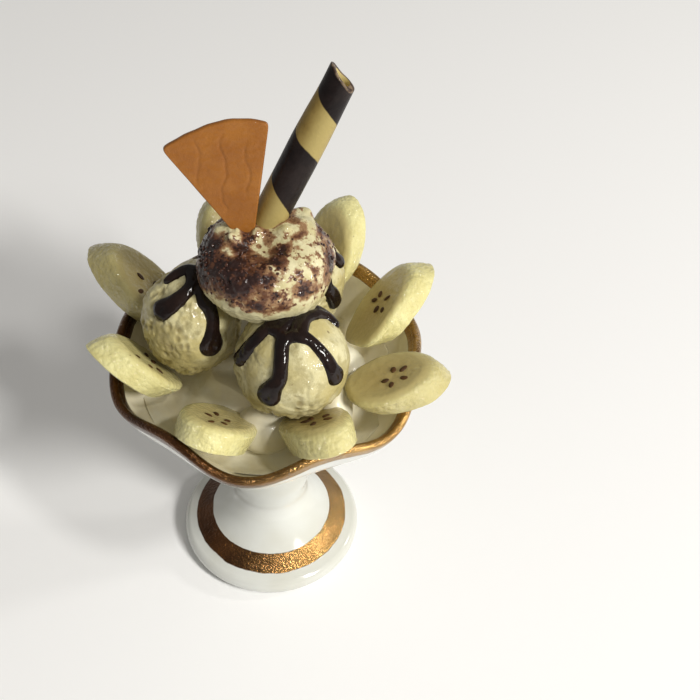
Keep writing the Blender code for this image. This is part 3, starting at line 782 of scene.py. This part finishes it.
def sauce_depth(spots, legs, half_size):
    """How thick the sauce stands at each spot on the scoop, in millimetres, less than 0 where there is none.

    For each leg, the spot's depth inside the leg's row of balls. The legs run together by a soft maximum, and
    the thickness is a half circle's height over that depth, a little flattened.
    """
    total = 0.0
    for waypoints in legs:
        path, width = leg_points(waypoints, half_size)
        inside = np.full(spots.shape[:-1], -9.0)
        for k in range(len(path)):
            inside = np.maximum(inside, width[k] - np.linalg.norm(spots - path[k], axis=-1))
        total = total + np.exp(np.clip(inside, -3, 3) / SAUCE_BLEND)
    inside = SAUCE_BLEND * np.log(total)
    bulge = np.sqrt(np.clip(inside * (2 * SAUCE_RADIUS - inside), 0, None))
    return np.where(inside > 0, 0.85 * bulge, -0.45 * smooth_step(0, 0.25, -inside))


def make_lower_scoop(name, row, seed, clay, chocolate):
    """A craggy ball that is flat on the bed, and its sauce as a second skin that rises out of it along the legs."""
    centre, half_size, legs = np.array(row[0]), np.array(row[1]), row[2]
    way = directions(*SCOOP_GRID)
    height, painted_shade = crags(way, seed)
    sunk = near_spots(way, DENTS.get(name, []))
    ball = way * half_size
    rings = ball + way * (height - sunk)[..., None] + centre
    rings[..., 2] = np.maximum(rings[..., 2], BED_TOP + GAP)
    # The clay carries its painted shade as the pit attribute
    shell(f"clay_{name}", rings, clay, name, values={"pit": painted_shade})
    depth = sauce_depth(ball, legs, half_size)
    calm = 0.35 * height - 0.02
    rings = ball + way * (calm + depth - sunk)[..., None] + centre
    rings[..., 2] = np.maximum(rings[..., 2], BED_TOP + SAUCE_GAP)
    shell(f"sauce_{name}", rings, chocolate, name)


def top_surface(way):
    """The top scoop's places along directions: squat, with a low skirt and a crown dented round the wafers."""
    height = np.where(way[..., 2] > 0, TOP_RISE, TOP_DEPTH)
    across = np.hypot(way[..., 0], way[..., 1])
    place = way / np.sqrt((across / TOP_RADIUS) ** 2 + (way[..., 2] / height) ** 2)[..., None]
    dent = TOP_DENT * np.exp(-((place[..., 0] + 0.4) ** 2 + (place[..., 1] + 1.0) ** 2) / 2.2**2)
    place[..., 2] -= dent * smooth_step(0, height, place[..., 2])
    return place


def near_spots(way, spots):
    """How near directions lie to the nearest of the (direction, width) spots: 1 on it and 0 well away from it."""
    near = 0.0
    for spot, wide in spots:
        near = np.maximum(near, np.exp(-np.sum((way - unit(np.array(spot))) ** 2, axis=-1) / wide**2))
    return near + 0 * way[..., 0]


# Where the cocoa was dabbed on, and where the clay is bare: direction and width
DABS = [
    ((-0.96, 0.18, 0.2), 0.24), ((-0.88, -0.28, 0.39), 0.27), ((-0.87, -0.44, 0.23), 0.24),
    ((-0.67, -0.58, 0.47), 0.24), ((-0.45, -0.39, 0.8), 0.2), ((-0.37, -0.68, 0.63), 0.26),
    ((-0.33, -0.82, 0.47), 0.26), ((-0.14, -0.85, 0.51), 0.26),
    ((0.05, -0.87, 0.49), 0.18), ((-0.21, -0.91, 0.36), 0.16), ((0.24, -0.66, 0.71), 0.14), ((0.4, -0.45, 0.8), 0.16),
    ((0.61, -0.05, 0.79), 0.15), ((0.84, 0.34, 0.41), 0.18), ((0.77, -0.47, 0.43), 0.07), ((0.56, -0.72, 0.42), 0.07),
    ((0.95, -0.14, 0.24), 0.16), ((-0.34, -0.91, 0.24), 0.08), ((-0.07, -1.0, -0.03), 0.12), ((0.21, -0.96, 0.2), 0.08),
    ((0.62, -0.75, 0.2), 0.12), ((0.35, -0.94, -0.02), 0.1), ((-0.5, 0.8, 0.4), 0.3), ((0.2, 0.9, 0.5), 0.3),
]
BARE = [
    ((-0.76, 0.15, 0.63), 0.2), ((-0.59, -0.13, 0.79), 0.17), ((-0.65, -0.44, 0.63), 0.14), ((0.53, 0.75, 0.4), 0.25),
    ((0.7, 0.36, 0.62), 0.18), ((0.47, 0.08, 0.88), 0.2), ((0.33, -0.16, 0.93), 0.14), ((0.74, -0.19, 0.64), 0.2),
    ((0.78, -0.37, 0.51), 0.18), ((0.58, -0.58, 0.58), 0.22), ((0.69, -0.6, 0.4), 0.17), ((0.45, -0.78, 0.45), 0.15),
    ((0.23, -0.75, 0.63), 0.09), ((-0.1, -0.25, 0.96), 0.15), ((-0.1, 0.7, 0.7), 0.2),
]
# Knobs of cream on the top scoop's crown: direction, height and width
KNOBS = [
    ((-0.76, 0.15, 0.63), 0.55, 0.17), ((-0.56, -0.02, 0.83), 0.85, 0.15), ((-0.5, -0.16, 0.85), 0.5, 0.14),
    ((-0.17, 0.0, 0.98), 0.7, 0.12), ((0.57, 0.6, 0.56), 0.8, 0.2), ((0.68, 0.3, 0.67), 0.55, 0.2),
    ((0.35, 0.05, 0.93), 0.4, 0.16),
]


def dusting(way):
    """How thick the cocoa lies along a direction, from 0 to 1: over the crown and upper sides, with an uneven hem.

    It is patchy, thick where it was dabbed on, and thin at the bare spots.
    """
    spot = way * 5 + 0.35 * columns(*(ripple(way * 5, 1.1, 50 + k) for k in range(3)))
    hem = way[..., 2] + 0.16 * roughness(spot, 2.0, 23, 3) + 0.1 * smooth_step(0.2, 0.6, way[..., 0]) * way[..., 1]
    fine = roughness(spot, 1.1, 41, 4)
    shifted = spot / 5
    cover = 0.4 + 0.14 * smooth_step(0.2, -0.6, way[..., 0]) + 0.22 * fine
    cover = cover + 0.55 * near_spots(shifted, DABS) - 0.55 * near_spots(shifted, BARE)
    return np.clip(cover, 0.09, 1) * smooth_step(-0.2, 0.16, hem)


def make_top_scoop():
    """A craggy squat ball with cream knobs on its crown, and cocoa crumbs strewn where the dusting is thick."""
    way = directions(*SCOOP_GRID)
    height, _ = crags(way, TOP_SEED)
    dust = dusting(way)
    skirt = smooth_step(-0.3, -0.6, way[..., 2])
    rise = height * (1 - 0.7 * skirt) + 0.1 * roughness(way * 5, 0.7, 5, 2) * dust
    for spot, tall, wide in KNOBS:
        near = near_spots(way, [(spot, wide)])
        rise = rise + tall * near * (0.8 + 0.5 * ripple(way * 5, 0.9, 61))
        dust = dust * (1 - 0.55 * smooth_step(0.35, 0.8, near))
    rings = top_surface(way) + way * rise[..., None] + np.array(TOP_CENTRE)
    shell("cocoa_scoop", rings, dusted_look(), "scoop_top", values={"dust": dust})

    k = np.arange(CRUMB_SPOTS)
    draw = np.random.default_rng(8)
    z = 0.95 - 1.5 * (k + 0.5) / CRUMB_SPOTS
    angle = k * math.pi * (3 - 5**0.5) + draw.uniform(-0.3, 0.3, CRUMB_SPOTS)
    way = spun(np.sqrt(1 - z * z), angle, z)
    keep = draw.uniform(0, 1, CRUMB_SPOTS) < dusting(way) ** 2
    way = way[keep]
    height, _ = crags(way, TOP_SEED)
    places = top_surface(way) + way * height[:, None] + np.array(TOP_CENTRE)
    sizes = draw.uniform(0.06, 0.17, len(way))
    strew_crumbs(places, way, sizes)


# Wafers


def make_fan():
    """The fan's slab: rings spread from its middle to its rounded outline on the front, and back on the rear.

    The outline is the sector with its corners eased, and three wavy grooves run up the front and the rear.
    """
    half = FAN_SWEEP / 2
    middle = FAN_START + half
    arc = np.linspace(-half, half, 120)
    reach = FAN_RADIUS * (1 + 0.022 * np.exp(-((arc / half + 0.35) / 0.55) ** 2) + 0.002 * np.sin(arc * 40))
    rim = columns(reach * np.cos(arc), reach * np.sin(arc))
    side = np.linspace(0, 1, 100)[1:-1, None]
    outline = np.concatenate([rim, rim[-1] * (1 - side), [[0, 0]], rim[0] * side])
    soft = outline
    for _ in range(22):
        soft = 0.5 * soft + 0.25 * (np.roll(soft, 1, axis=0) + np.roll(soft, -1, axis=0))
    heart = np.array([FAN_RADIUS * 0.64, 0.0])
    inward = unit(heart - soft)
    shares = np.linspace(0.01, 1, FAN_RINGS)[:, None, None]
    flat = heart + (soft + inward * FAN_EDGE - heart) * shares
    turn = np.linspace(math.pi / 2, -math.pi / 2, 12)[1:-1][:, None, None]
    bend = soft + inward * FAN_EDGE - inward * FAN_EDGE * np.cos(turn)
    grid = np.concatenate([flat, bend, flat[::-1]])
    face = np.ones((FAN_RINGS, len(soft)))
    depth = np.concatenate([face, np.sin(turn)[..., 0] + 0 * soft[None, :, 0], -face])
    across, up = grid[..., 1], grid[..., 0]
    cos, sin = math.cos(middle), math.sin(middle)
    x, y = up * cos - across * sin, up * sin + across * cos
    groove = 0.0
    for line, low, high, lag in FAN_LINES:
        sway = 0.12 * np.sin(y * 1.7 + lag) + 0.3 * ripple(columns(y, line, 0), 0.8, 7)
        fade = smooth_step(low, low + 1.2, y) * smooth_step(high, high - 0.8, y)
        groove = np.maximum(groove, np.exp(-((x - line - sway) / 0.13) ** 2) * fade)
    spot = np.concatenate([grid, depth[..., None] * 3], axis=-1)
    level = depth * (FAN_THICKNESS / 2 - 0.035 * groove * (np.abs(depth) > 0.98)) + 0.03 * roughness(spot, 1.8, 3, 2)
    stand = Matrix.Rotation(math.pi / 2 - FAN_LEAN, 4, "X")
    place = Matrix.Translation(FAN_APEX) @ Matrix.Rotation(FAN_TURN, 4, "Z") @ stand
    rings = turned(place, columns(x, y, level))
    shell("fan_biscuit", rings, biscuit_look(), "wafer_fan", values={"groove": groove})


def make_roll():
    """A hollow stick: a ring under its foot, rings up its outside to the slanted end, over the end and down its bore.

    It is drawn in a little towards the tip, and the end stands higher on one side.
    """
    axis = ROLL_TIP - ROLL_FOOT
    length = axis.length
    turn = axis.to_track_quat("Z", "Y").to_matrix()
    normal = np.array(turn.transposed() @ ROLL_END_NORMAL)
    compass = compass_angles(96)

    def end(radius):
        slant = length - (normal[0] * radius * np.cos(compass) + normal[1] * radius * np.sin(compass)) / normal[2]
        blunt = 0.4 * np.exp(-((compass / (2 * math.pi) - 0.72) / 0.15) ** 2)
        return slant + blunt + 0.08 * np.cos(compass - 0.6) + 0.02 * np.sin(5 * compass)

    outer = np.linspace(0, 1, ROLL_RINGS)[:, None] * (end(ROLL_RADIUS) - 0.08)[None]
    rims = [(ROLL_RADIUS - 0.02, -0.03), (ROLL_RADIUS - 0.07, 0.0), (ROLL_BORE + 0.07, 0.0), (ROLL_BORE + 0.02, -0.03)]
    rows = [spun(0.4, compass, 0)[None], spun(ROLL_RADIUS, compass, outer)]
    for radius, drop in rims:
        rows.append(spun(radius, compass, end(radius) + drop)[None])
    floor = length - ROLL_BORE_DEPTH
    inner = floor + np.linspace(1, 0, 20)[:, None] * (end(ROLL_BORE) - 0.08 - floor)[None]
    rows.append(spun(ROLL_BORE, compass, inner))
    grid = np.concatenate(rows)
    order = np.arange(len(grid))[:, None] + 0 * compass
    bore_start = 1 + ROLL_RINGS + len(rims)
    cut = ((order >= ROLL_RINGS) & (order <= bore_start)) * 1.0
    bore = (order >= bore_start) * 1.0
    swell = 0.02 * ripple(grid * (1, 1, 0.5), 1.5, 12)
    grid[..., :2] *= (1.03 - np.abs(swell) - 0.12 * smooth_step(0.55, 1.0, grid[..., 2] / length))[..., None]
    rings = turned(Matrix.Translation(ROLL_FOOT) @ turn.to_4x4(), grid)
    shell("striped_roll", rings, striped_look(), "wafer_roll",
          grid[..., 2].mean(axis=1), {"cut": cut, "bore": bore})


# Banana slices


def slice_place(row):
    """The frame of a slice's cut face: X along its length towards the raised end, Z out of the face."""
    heading, rise, bank = (math.radians(a) for a in row[1])
    turn = Matrix.Rotation(heading, 4, "Z") @ Matrix.Rotation(-rise, 4, "Y") @ Matrix.Rotation(bank, 4, "X")
    return Matrix.Translation(row[0]) @ turn


def slice_rings(thickness, half_width):
    """Each ring's share of the outline and its drop below the cut face: face, upper edge, wall and underside."""
    turn = np.linspace(0, math.pi / 2, 12)[1:]
    brow = 1 - SLICE_FILLET / half_width * (1 - np.sin(turn))
    low = thickness - SLICE_UNDER
    share = np.concatenate([np.linspace(0.02, brow[0] - 0.01, 40), brow, np.ones(36), np.cos(np.linspace(0, 1.54, 24))])
    drop = np.concatenate([
        np.zeros(40), SLICE_FILLET * (1 - np.cos(turn)), np.linspace(SLICE_FILLET, low, 36),
        low + SLICE_UNDER * np.sin(np.linspace(0, math.pi / 2, 24)),
    ])
    return share[:, None], drop[:, None]


def make_slice(number, row, clay, seeds):
    """A slanting cut: rings from the face's middle over its edge, down the grainy wall and under.

    The outline is an oval, half length by half width, whose width is drawn in towards each end by its point.
    """
    _, _, half_length, half_width, overhang, points, thickness, places = row
    compass = compass_angles(220)
    cos, sin = np.cos(compass), np.sin(compass)
    power = 1 + np.where(cos > 0, points[0], points[1]) * smooth_step(0, 0.8, np.abs(cos))
    wide = np.sign(sin) * np.abs(sin) ** power
    share, drop = slice_rings(thickness, half_width)
    bulge = 1 + 0.035 * np.sin(math.pi * np.clip(drop / thickness, 0, 1))
    size = share * bulge * (1 - (1 - SLICE_TAPER) * drop / thickness)
    x = size * cos * half_length + drop / LEAN_DEPTH * overhang
    y = size * wide * half_width
    grid = columns(x, y, -drop + 0 * x)
    spot = grid + number * 17.0
    ragged = 0.05 * roughness(spot, 0.8, number + 2, 2)
    face = smooth_step(0.45, 0.0, drop + ragged) * smooth_step(1.0, 0.93, share + ragged)
    wall = smooth_step(0.0, 0.4, drop) + 0 * x
    out = grid / np.maximum(np.linalg.norm(grid * (1, 1, 0), axis=-1, keepdims=True), 0.3) * (1, 1, 0)
    grains = np.clip(1 - nearest_grain(spot, 0.38, number) ** 2, 0, 1)
    bumps = 0.08 * grains + 0.03 * roughness(spot, 0.5, number, 2) + 0.08 * ripple(spot, 1.6, number + 4)
    grid = grid + out * (bumps * wall)[..., None]
    dent = 0.10 * (1 - smooth_step(0.0, 1.0, share)) * (drop < 0.01)
    uneven = 0.025 * roughness(spot, 0.9, number + 9, 3) + 0.05 * ripple(spot, 2.0, number)
    grid[..., 2] += uneven * (1 - wall) - dent
    # Painted light: a lower share paints this slice's face paler, as if it were lit
    face = face * FACE_SHARE.get(number, 1.0)
    core = smooth_step(1.0, 0.25, share) * face
    # Painted shadow over this slice
    painted_shadow = np.full(face.shape, PAINTED_SHADOW.get(number, 0.0))
    shell(f"banana_cut_{number}", turned(slice_place(row), grid), clay, f"banana_slice_{number}",
          values={"face": face, "core": core, "painted_shadow": painted_shadow})
    make_seeds(number, row, places, seeds)


def make_seeds(number, row, places, seeds):
    """Uneven long balls sunk into the cut face, each lying outwards from the middle of them all."""
    draw = np.random.default_rng(number)
    middle = np.mean(places, axis=0)
    for k, spot in enumerate(places, 1):
        way = directions(8, 16)
        size = (draw.uniform(0.33, 0.42), draw.uniform(0.2, 0.25), 0.1)
        lump = way * size * (1 + 0.12 * ripple(way * 2, 1.1, number * 5 + k))[..., None]
        angle = math.atan2(spot[1] - middle[1], spot[0] - middle[0]) + draw.uniform(-0.3, 0.3)
        c, s = math.cos(angle), math.sin(angle)
        x, y, z = np.moveaxis(lump, -1, 0)
        lump = columns(x * c - y * s, x * s + y * c, z)
        rings = turned(slice_place(row), lump + (spot[0], spot[1], -0.05))
        tone = np.full(rings.shape[:2], draw.uniform(0, 1))
        shell(f"seed_{number}_{k}", rings, seeds, f"banana_slice_{number}", values={"tone": tone})


# Setting

# Where the lamps point, their tint, and each one's name, place, width and power, in metres and watts
HEART = (0, 0, 0.03)
LAMP_TINT = (1.0, 0.98, 0.94)
LAMPS = [
    ("key", (0.27, -0.21, 0.26), 0.09, 1.42),
    ("high", (0.24, -0.17, 0.44), 0.05, 0.6),
    ("side", (0.36, 0.09, 0.2), 0.05, 0.28),
]
CAMERA_PLACE = (6.92, -68.25, 100.48)
CAMERA_LEAN = math.radians(47.490)
CAMERA_ROLL = math.radians(2.962)
SENSOR = 36
# The focal length and the picture's width, in pixels
FOCAL_PIXELS, PICTURE_PIXELS = 1200, 700


def make_floor():
    """A plain pale floor, six metres across."""
    mesh = bpy.data.meshes.new("floor")
    mesh.from_pydata([(-3, -3, 0), (3, -3, 0), (3, 3, 0), (-3, 3, 0)], [], [(0, 1, 2, 3)])
    made, _ = new_look("pale_floor", Roughness=0.7, Base_Color=(0.9, 0.9, 0.9, 1.0))
    mesh.materials.append(made)
    floor = new_object("floor", mesh)


def add_light(name, place, size, power):
    """A round lamp, size metres wide, that points at the sundae's heart."""
    data = bpy.data.lights.new(name, "AREA")
    data.shape = "DISK"
    data.size = size
    data.energy = power
    data.color = LAMP_TINT
    lamp = new_object(name, data)
    lamp.location = place
    lamp.rotation_euler = (Vector(HEART) - Vector(place)).to_track_quat("-Z", "Y").to_euler()


def make_studio():
    """Dim warm light from all round, and lamps at the right."""
    world = bpy.data.worlds.new("studio")
    world.use_nodes = True
    background = world.node_tree.nodes["Background"]
    background.inputs["Color"].default_value = (1.0, 0.97, 0.92, 1.0)
    background.inputs["Strength"].default_value = 0.28
    bpy.context.scene.world = world
    bpy.context.scene.view_settings.view_transform = "Standard"
    for lamp in LAMPS:
        add_light(*lamp)


def make_camera():
    """The photograph's camera: it looks down by 47.5 degrees from the front, rolled by 3 degrees."""
    ahead = Vector((0, math.cos(CAMERA_LEAN), -math.sin(CAMERA_LEAN)))
    right = Vector((1, 0, 0))
    up = right.cross(ahead)
    side = math.cos(CAMERA_ROLL) * right + math.sin(CAMERA_ROLL) * up
    above = -math.sin(CAMERA_ROLL) * right + math.cos(CAMERA_ROLL) * up
    data = bpy.data.cameras.new("camera")
    data.sensor_width = SENSOR
    data.lens = SENSOR * FOCAL_PIXELS / PICTURE_PIXELS
    data.clip_start = 0.001
    camera = new_object("camera", data)
    turn = Matrix((side, above, -ahead)).transposed().to_4x4()
    camera.matrix_world = Matrix.Translation(Vector(CAMERA_PLACE) * MM) @ turn
    bpy.context.scene.camera = camera


make_dish()
make_bed()
vanilla, chocolate = ice_cream_look(), sauce_look()
for n, (scoop, details) in enumerate(LOWER_SCOOPS.items()):
    make_lower_scoop(scoop, details, 20 * n + 1, vanilla, chocolate)
make_top_scoop()
make_fan()
make_roll()
banana, dark_seed = banana_look(), seed_look()
for n, details in enumerate(SLICES, 1):
    make_slice(n, details, banana, dark_seed)
make_floor()
make_studio()
make_camera()
